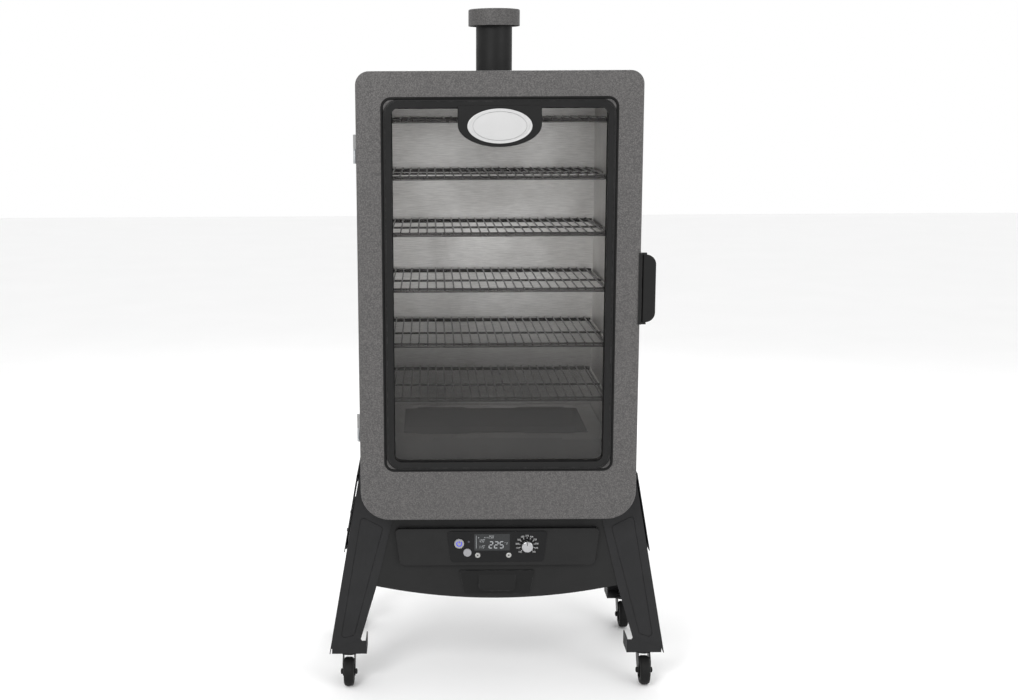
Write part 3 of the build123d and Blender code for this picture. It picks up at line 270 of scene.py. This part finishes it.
BRUSH_X = (0.6, 6, 14)
MATERIALS = {
    "hammertone": hammertone(),
    "stainless": brushed("brushed_stainless", (0.80, 0.79, 0.775), 0.42, BRUSH_X, 0.14),
    "mineral_wool": mineral_wool(),
    "black_paint": painted("satin_black_paint", srgb(26, 26, 26), 0.52, 1.1 * MM, 0.12 * MM, wear=0.15),
    "galvanised": galvanised(),
    "hinge_grey": painted("plated_hinge", srgb(150, 150, 150), 0.36, 0.6 * MM, 0.03 * MM, metallic=0.9),
    "enamel": painted("pan_enamel", srgb(44, 44, 44), 0.66, 3 * MM, 0.03 * MM, wear=0.2,
                      worn=srgb(96, 90, 84)),
    "rack_wire": painted("rack_wire_chrome", srgb(92, 91, 90), 0.3, 2.5 * MM, 0.05 * MM, metallic=0.9,
                         wear=0, tone=0.3),
    "frame_black": painted("frame_enamel", srgb(18, 18, 18), 0.36, 0.9 * MM, 0.05 * MM, wear=0.15),
    "door_glass": door_glass(),
    "gasket_black": painted("gasket_rubber", srgb(20, 20, 20), 0.7, 0.8 * MM, 0.12 * MM, wear=0,
                            specular=0.15),
    "badge_silver": painted("badge_satin", srgb(184, 184, 184), 0.4, 0.35 * MM, 0.02 * MM, tone=0.05,
                            metallic=0.35, wear=0.2, worn=srgb(225, 225, 225)),
    "controller_black": painted("controller_moulding", srgb(11, 11, 12), 0.4, 0.5 * MM, 0.04 * MM,
                                wear=0.15),
    "display_lens": painted("display_glass", srgb(30, 32, 33), 0.14, 8 * MM, 0.004 * MM, tone=0.07,
                            wear=0, specular=0.4),
    "button_grey": painted("button_moulding", srgb(142, 142, 145), 0.45, 0.5 * MM, 0.03 * MM, tone=0.05,
                           wear=0.2),
    "knob_chrome": painted("knob_chrome", srgb(172, 172, 174), 0.2, 1.5 * MM, 0.01 * MM, metallic=1.0,
                           tone=0.06, wear=0),
    "jack_metal": painted("jack_nickel", srgb(170, 170, 168), 0.24, 0.5 * MM, 0.01 * MM, metallic=1.0,
                          wear=0),
    "fan_plastic": painted("fan_moulding", srgb(30, 30, 31), 0.5, 0.5 * MM, 0.04 * MM, wear=0.1),
    "caster_black": painted("caster_steel", srgb(24, 24, 24), 0.4, 0.8 * MM, 0.05 * MM, wear=0.6),
    "wheel_rubber": painted("tyre_rubber", srgb(17, 17, 17), 0.62, 0.7 * MM, 0.1 * MM, wear=0.3,
                            worn=srgb(60, 58, 56), specular=0.2),
}
LEG_PAINT = painted("leg_textured_paint", srgb(31, 31, 32), 0.56, 1.3 * MM, 0.2 * MM, wear=0.08)
PIPE_PAINT = painted("pipe_heat_paint", srgb(22, 22, 22), 0.5, 1.0 * MM, 0.1 * MM, worn=srgb(70, 60, 55))
HANDLE_PAINT = painted("handle_moulding", srgb(18, 18, 18), 0.4, 0.6 * MM, 0.05 * MM, wear=0.25)
# Painted shade: the drip drawer's black is painted darker than the stand's paint, standing in for the shade of
# its recess.
SHADED_DRAWER_PAINT = painted("drawer_black_painted_shade", srgb(12, 12, 12), 0.42, 1.0 * MM, 0.08 * MM)
BLUE_MARK = lit("power_mark_blue", srgb(48, 48, 205), 0.35)
LED_GLOW = lit("led_glow", srgb(70, 72, 80), 0.1)
LCD_GREY = lit("lcd_segments", srgb(150, 152, 154), 0.2)
PRINT_WHITE = painted("dial_print", srgb(190, 190, 190), 0.5, 0.3 * MM, 0.01 * MM, tone=0.06, wear=0)
SCREW_STEEL = painted("screw_black_oxide", srgb(46, 46, 47), 0.38, 0.4 * MM, 0.02 * MM, metallic=0.7)
SCREW_ZINC = painted("screw_zinc", srgb(160, 160, 158), 0.34, 0.4 * MM, 0.02 * MM, metallic=1.0, wear=0)

LINER_STEEL = brushed("liner_stainless", (0.80, 0.79, 0.775), 0.42, BRUSH_X, 0.14, shaded_flange=True)
OWN = {"cabinet_liner": LINER_STEEL, "front_legs": LEG_PAINT, "rear_legs": LEG_PAINT, "stand_panels": LEG_PAINT,
       "chimney_pipe": PIPE_PAINT, "latch_handle": HANDLE_PAINT, "latch_base": HANDLE_PAINT,
       "drip_drawer": SHADED_DRAWER_PAINT}


def paint_nodes():
    for entry in frame["record"]["subparts"]:
        node = NODES[entry["node"]]
        material = OWN.get(entry["node"], MATERIALS[entry["material_slot"]])
        if not node.material_slots:
            node.data.materials.append(material)
        for held in node.material_slots:
            held.material = material


# ---------------------------------------------------------------- building small pieces
def piece(name, verts, faces, material, body, smooth=True):
    mesh = bpy.data.meshes.new(name)
    mesh.from_pydata([tuple(v) for v in verts], [], faces)
    mesh.validate()
    mesh.update()
    mesh.polygons.foreach_set("use_smooth", [smooth] * len(mesh.polygons))
    mesh.materials.append(material)
    obj = bpy.data.objects.new(name, mesh)
    bpy.context.scene.collection.objects.link(obj)
    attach(obj, body)
    return obj


def centre(node):
    low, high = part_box(node)
    return (Vector(low) + Vector(high)) / 2


def surface(node, start, direction):
    """Where a straight line first meets a CAD node, and the surface's normal there."""
    mesh = NODES[node].data
    tree = BVHTree.FromPolygons([v.co for v in mesh.vertices], [p.vertices for p in mesh.polygons])
    point, normal, _, _ = tree.ray_cast(Vector(start), Vector(direction).normalized())
    return point, normal


def rounded_path(half_x, half_z, radius, middle, steps=10):
    """A closed rounded rectangle in the XZ plane, anticlockwise as seen from the front."""
    path = []
    for corner, (sx, sz) in enumerate(((1, 1), (-1, 1), (-1, -1), (1, -1))):
        for step in range(steps + 1):
            turn = math.pi / 2 * (corner + step / steps)
            path.append(middle + Vector((sx * (half_x - radius) + radius * math.cos(turn), 0,
                                         sz * (half_z - radius) + radius * math.sin(turn))))
    return path


def bead(name, path, width, proud, material, body, closed=True):
    """A half-round bead along a path in the XZ plane, standing proud towards the front."""
    rounds = 8
    verts, faces = [], []
    count = len(path)
    for index, point in enumerate(path):
        before = path[index - 1] if closed or index else path[0]
        after = path[(index + 1) % count] if closed or index < count - 1 else path[-1]
        along = (after - before).normalized()
        side = along.cross(FRONT).normalized()
        for step in range(rounds):
            turn = math.pi * step / (rounds - 1)
            verts.append(point + side * (width / 2 * math.cos(turn)) + FRONT * (proud * math.sin(turn)))
    for index in range(count if closed else count - 1):
        a, b = index * rounds, (index + 1) % count * rounds
        for step in range(rounds):
            after = (step + 1) % rounds
            faces.append((a + step, b + step, b + after, a + after))
    if not closed:
        faces += [tuple(range(rounds)), tuple(reversed(range((count - 1) * rounds, count * rounds)))]
    return piece(name, verts, faces, material, body)


def turned(profile, origin, axis, lobes=None, segments=36):
    """Vertices and faces of a profile of (radius, height) turned about an axis.
    lobes gives each ring's share of a six-lobed outline, from 0 for round."""
    axis = Vector(axis).normalized()
    across = axis.orthogonal().normalized()
    other = axis.cross(across)
    verts, faces = [], []
    for ring, (radius, height) in enumerate(profile):
        swing = lobes[ring] if lobes else 0
        for step in range(segments):
            turn = 2 * math.pi * step / segments
            reach = radius * (1 + swing * math.cos(6 * turn))
            verts.append(origin + axis * height + across * (reach * math.cos(turn))
                         + other * (reach * math.sin(turn)))
    for ring in range(len(profile) - 1):
        for step in range(segments):
            after = (step + 1) % segments
            faces.append((ring * segments + step, ring * segments + after,
                          (ring + 1) * segments + after, (ring + 1) * segments + step))
    faces.append(tuple(reversed(range(segments))))
    faces.append(tuple(range((len(profile) - 1) * segments, len(profile) * segments)))
    return verts, faces


def screws(name, spots, material, body, radius=3.6 * MM):
    """Button-head screws with a six-lobe socket, one at each (point, normal)."""
    r = radius
    profile = [(r, -0.2 * MM), (r, 0.12 * r), (0.93 * r, 0.3 * r), (0.78 * r, 0.44 * r), (0.56 * r, 0.53 * r),
               (0.44 * r, 0.55 * r), (0.40 * r, 0.53 * r), (0.38 * r, 0.2 * r), (0.3 * r, 0.16 * r)]
    lobes = [0, 0, 0, 0, 0, 0.12, 0.14, 0.14, 0.14]
    verts, faces = [], []
    for point, normal in spots:
        if point is None:
            continue
        more, sides = turned(profile, point, normal, lobes)
        faces += [tuple(index + len(verts) for index in side) for side in sides]
        verts += more
    return piece(name, verts, faces, material, body)


def plates(name, outlines, base_y, thick, material, body):
    """Thin raised shapes on a face that looks to the front, each with a chamfered rim."""
    verts, faces = [], []
    for outline in outlines:
        middle = Vector((sum(p[0] for p in outline), 0, sum(p[1] for p in outline))) / len(outline)
        first = len(verts)
        count = len(outline)
        for share, depth in ((1.0, 0.0), (1.0, 0.6), (0.93, 1.0)):
            for x, z in outline:
                verts.append((middle.x + (x - middle.x) * share, base_y - thick * depth,
                              middle.z + (z - middle.z) * share))
        for ring in range(2):
            for step in range(count):
                after = (step + 1) % count
                a, b = first + ring * count, first + (ring + 1) * count
                faces.append((a + step, a + after, b + after, b + step))
        faces.append(tuple(range(first + 2 * count, first + 3 * count)))
        faces.append(tuple(reversed(range(first, first + count))))
    return piece(name, verts, faces, material, body, smooth=False)


# ---------------------------------------------------------------- door fittings
def door_fittings():
    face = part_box("door_skin")[0][1]
    low, high = (Vector(corner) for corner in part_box("window_frame"))
    half_x, half_z = (high.x - low.x) / 2, (high.z - low.z) / 2
    middle = Vector(((low.x + high.x) / 2, face, (low.z + high.z) / 2))
    lip = 2.2 * MM
    outer = rounded_path(half_x + lip, half_z + lip, 20 * MM, middle)
    # A black rubber half-round bead around the window frame's outer edge.
    bead("window_frame_outer_bead", outer, 6 * MM, 2.4 * MM, MATERIALS["gasket_black"], "door")
    glass = Vector((middle.x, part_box("window_glass")[0][1], middle.z))
    inner = rounded_path(half_x - FRAME_BAND, half_z - FRAME_BAND, 9 * MM, glass)
    bead("window_glass_seal", inner, 4.5 * MM, 2.5 * MM, MATERIALS["gasket_black"], "door")
    badge_ring()


def badge_ring():
    low, high = (Vector(corner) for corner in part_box("badge_plate"))
    middle = (low + high) / 2
    for name, share, width in (("badge_rim", 0.965, 3.0 * MM), ("badge_ring", 0.83, 0.9 * MM)):
        half_x, half_z = (high.x - low.x) / 2 * share, (high.z - low.z) / 2 * share
        path = []
        for step in range(72):
            turn = 2 * math.pi * step / 72
            x, z = middle.x + half_x * math.cos(turn), middle.z + half_z * math.sin(turn)
            point, _ = surface("badge_plate", (x * 0.999, low.y - 0.05, z), (0, 1, 0))
            path.append(point if point else Vector((x, low.y, z)))
        dark = name == "badge_ring"
        bead(name, path, width, 0.5 * MM, MATERIALS["hinge_grey" if dark else "badge_silver"], "door")


# ---------------------------------------------------------------- control panel
SEGMENTS = {"0": "abcdef", "1": "bc", "2": "abdeg", "3": "abcdg", "4": "bcfg", "5": "acdfg",
            "6": "acdefg", "7": "abc", "8": "abcdefg", "9": "abcdfg", "F": "aefg"}


def seven_segment(text, left, base, width, height, gap):
    """Outlines of the lit segments of a row of digits; a degree mark is a small square."""
    outlines = []
    thick = height * 0.13
    slant = 0.08
    for number, letter in enumerate(text):
        x0 = left + number * (width + gap)
        if letter == "*":
            side = height * 0.2
            outlines.append([(x0, base + height), (x0, base + height - side),
                             (x0 + side, base + height - side), (x0 + side, base + height)])
            continue
        for segment in SEGMENTS[letter]:
            outlines.append(segment_outline(segment, x0, base, width, height, thick, slant))
    return outlines


def segment_outline(segment, x0, base, width, height, thick, slant):
    half = height / 2
    rows = {"a": height, "g": half, "d": 0.0}
    columns = {"f": (0.0, half), "b": (width, half), "e": (0.0, 0.0), "c": (width, 0.0)}
    t = thick / 2
    if segment in rows:
        z = rows[segment] + (t if segment == "d" else -t if segment == "a" else 0)
        points = [(t * 1.3, z), (t * 2.3, z + t), (width - t * 2.3, z + t), (width - t * 1.3, z),
                  (width - t * 2.3, z - t), (t * 2.3, z - t)]
    else:
        x, z0 = columns[segment]
        x += t if segment in "fe" else -t
        points = [(x, z0 + t * 0.9), (x + t, z0 + t * 1.9), (x + t, z0 + half - t * 1.9),
                  (x, z0 + half - t * 0.9), (x - t, z0 + half - t * 1.9), (x - t, z0 + t * 1.9)]
    return [(x0 + x + z * slant, base + z) for x, z in points]


def display_marks():
    low, high = (Vector(corner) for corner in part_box("display"))
    wide, tall = high.x - low.x, high.z - low.z

    def row(text, across, up, height, narrow=0.5):
        size = tall * height
        return seven_segment(text, low.x + wide * across, low.z + tall * up, size * narrow, size, size * 0.13)

    outlines = row("250", 0.40, 0.74, 0.17)
    outlines += row("120*", 0.12, 0.50, 0.18)
    outlines += row("115*", 0.12, 0.13, 0.18)
    outlines += row("225", 0.40, 0.12, 0.44, 0.58)
    outlines += row("*F", 0.86, 0.33, 0.16)
    for across, up in ((0.30, 0.78), (0.36, 0.78), (0.12, 0.78)):
        x, z, side = low.x + wide * across, low.z + tall * up, tall * 0.035
        outlines.append([(x, z + side), (x + side, z), (x, z - side), (x - side, z)])
    edge = low.x + wide * 0.05
    outlines.append([(edge, low.z + tall * 0.12), (edge + wide * 0.012, low.z + tall * 0.12),
                     (edge + wide * 0.012, low.z + tall * 0.9), (edge, low.z + tall * 0.9)])
    plates("display_segments", outlines, low.y + 0.02 * MM, 0.15 * MM, LCD_GREY, "cabinet")


def power_mark():
    low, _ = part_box("power_button")
    middle = centre("power_button")
    face = Vector((middle.x, low[1], middle.z))
    radius = (middle.x - low[0]) * 0.52
    arc = [face + Vector((radius * math.sin(turn), 0, radius * math.cos(turn)))
           for turn in (math.radians(38 + 284 * step / 28) for step in range(29))]
    bead("power_symbol_arc", arc, radius * 0.34, 0.25 * MM, BLUE_MARK, "power", closed=False)
    line = [face + Vector((0, 0, radius * (0.25 + 0.9 * step / 4))) for step in range(5)]
    bead("power_symbol_line", line, radius * 0.34, 0.25 * MM, BLUE_MARK, "power", closed=False)
    ring = rounded_path(middle.x - low[0] - 0.4 * MM, middle.x - low[0] - 0.4 * MM,
                        middle.x - low[0] - 0.45 * MM, face)
    bead("power_button_ring", ring, 0.9 * MM, 0.35 * MM, MATERIALS["jack_metal"], "power")


def indicator():
    point, _ = surface("controller_housing", (-67 * MM, -1, 360 * MM), (0, 1, 0))
    if point is None:
        return
    dome = [(2.4 * MM, -0.1 * MM), (2.4 * MM, 0.5 * MM), (1.9 * MM, 0.7 * MM), (1.6 * MM, 0.45 * MM),
            (1.5 * MM, 0.6 * MM), (1.0 * MM, 1.0 * MM), (0.3 * MM, 1.15 * MM)]
    verts, faces = turned(dome, point, FRONT, segments=28)
    piece("indicator_lamp", verts, faces, LED_GLOW, "cabinet")


def dial_marks():
    middle = centre("temperature_knob")
    low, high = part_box("temperature_knob")
    reach = (high[0] - low[0]) / 2
    outlines = []
    face = None
    for step in range(11):
        turn = math.radians(-135 + 27 * step)
        away = Vector((math.sin(turn), math.cos(turn)))
        side = Vector((away.y, -away.x))
        start, end, half = reach + 2.2 * MM, reach + 5.4 * MM, 0.55 * MM
        corners = [away * start - side * half, away * end - side * half,
                   away * end + side * half, away * start + side * half]
        outlines.append([(middle.x + corner.x, middle.z + corner.y) for corner in corners])
        spot = away * (reach + 9.4 * MM)
        point, _ = surface("controller_housing", (middle.x + spot.x, -1, middle.z + spot.y), (0, 1, 0))
        if point:
            face = point.y
            dial_number(step, str(150 + 25 * step), point)
    plates("dial_ticks", outlines, face, 0.15 * MM, PRINT_WHITE, "cabinet")
    tip = Vector((middle.x, low[1], middle.z))
    pointer = [tip + Vector((0, 0, reach * share)) for share in (0.25, 0.45, 0.65, 0.85)]
    bead("knob_pointer", pointer, 1.3 * MM, 0.3 * MM, MATERIALS["controller_black"], "knob",
         closed=False)


def dial_number(step, text, point):
    curve = bpy.data.curves.new(f"dial_number_{step}", "FONT")
    curve.body = text
    curve.size = 5.4 * MM
    curve.extrude = 0.06 * MM
    curve.align_x = "CENTER"
    curve.align_y = "CENTER"
    curve.materials.append(PRINT_WHITE)
    obj = bpy.data.objects.new(curve.name, curve)
    bpy.context.scene.collection.objects.link(obj)
    obj.matrix_world = Matrix.Translation(point + FRONT * 0.08 * MM) @ Matrix.Rotation(math.pi / 2, 4, "X")
    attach(obj, "cabinet")


# ---------------------------------------------------------------- fasteners
def fasteners():
    low, high = (Vector(corner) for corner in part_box("cabinet_shell"))
    inset = 15 * MM
    spots = []
    for share in range(7):
        z = low.z + inset + (high.z - low.z - 2 * inset) * share / 6
        for x in (low.x + inset, high.x - inset):
            spots.append(surface("cabinet_shell", (x, 1, z), (0, -1, 0)))
    for share in (0.25, 0.5, 0.75):
        spots.append(surface("cabinet_shell", (low.x + (high.x - low.x) * share, 1, high.z - inset), (0, -1, 0)))
    screws("cabinet_back_screws", spots, SCREW_STEEL, "cabinet", 4 * MM)
    side_screws("skirt_screws", "stand_panels", (0.15, 0.5, 0.85), (0.3,), 4.5 * MM)
    side_screws("hopper_screws", "hopper", (0.3, 0.75), (0.06, 0.94), 3.6 * MM)


def side_screws(name, node, along, up, radius):
    low, high = (Vector(corner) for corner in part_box(node))
    spots = []
    for share in along:
        for level in up:
            y, z = low.y + (high.y - low.y) * share, low.z + (high.z - low.z) * level
            for side in (-1, 1):
                spots.append(surface(node, (side, y, z), (-side, 0, 0)))
    screws(name, spots, SCREW_STEEL, "cabinet", radius)


# ---------------------------------------------------------------- floor, light and camera
def stage():
    finish = Finish("pale_floor")
    tone = finish.noise(2, 5)
    finish.shade(finish.mix(tone, (0.90, 0.90, 0.90), (0.94, 0.94, 0.94)), finish.remap(tone, 0.3, 0.7, 0.6, 0.8),
                 finish.noise(300, 2), 0.05 * MM)
    finish.fixed(specular=0.15)
    mesh = bpy.data.meshes.new("floor")
    half = 14.0
    mesh.from_pydata([(-half, -half, 0), (half, -half, 0), (half, half, 0), (-half, half, 0)], [], [(0, 1, 2, 3)])
    mesh.materials.append(finish.material)
    floor = bpy.data.objects.new("floor", mesh)
    bpy.context.scene.collection.objects.link(floor)
    world = bpy.data.worlds.new("studio")
    world.use_nodes = True
    world.node_tree.nodes["Background"].inputs["Color"].default_value = (1, 1, 1, 1)
    world.node_tree.nodes["Background"].inputs["Strength"].default_value = 1.0
    bpy.context.scene.world = world
    bpy.context.scene.view_settings.view_transform = "Standard"


def area_light(name, place, target, size, power):
    light = bpy.data.lights.new(name, "AREA")
    light.shape = "DISK"
    light.size = size
    light.energy = power
    obj = bpy.data.objects.new(name, light)
    bpy.context.scene.collection.objects.link(obj)
    towards = Vector(target) - Vector(place)
    obj.matrix_world = Matrix.Translation(place) @ towards.to_track_quat("-Z", "Y").to_matrix().to_4x4()


def lights():
    area_light("key", (-1.6, -3.2, 2.9), (0, 0, 0.9), 1.6, 70)
    area_light("fill", (2.6, -2.6, 1.7), (0, 0, 0.8), 2.0, 30)
    area_light("rim", (0.4, 2.8, 3.0), (0, 0, 1.1), 1.8, 45)


def camera():
    data = bpy.data.cameras.new("view")
    data.lens = 49.5
    data.sensor_width = 36.0
    data.shift_x = 0.0776
    data.shift_y = 0.0033
    data.clip_end = 60
    obj = bpy.data.objects.new("view", data)
    bpy.context.scene.collection.objects.link(obj)
    place = Vector((-0.155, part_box("door_skin")[0][1] - 3.10, 1.367))
    obj.matrix_world = (Matrix.Translation(place) @ Matrix.Rotation(math.radians(79.9), 4, "X")
                        @ Matrix.Rotation(math.radians(-0.3), 4, "Z"))
    bpy.context.scene.camera = obj


paint_nodes()
door_fittings()
display_marks()
power_mark()
indicator()
dial_marks()
fasteners()
stage()
lights()
camera()
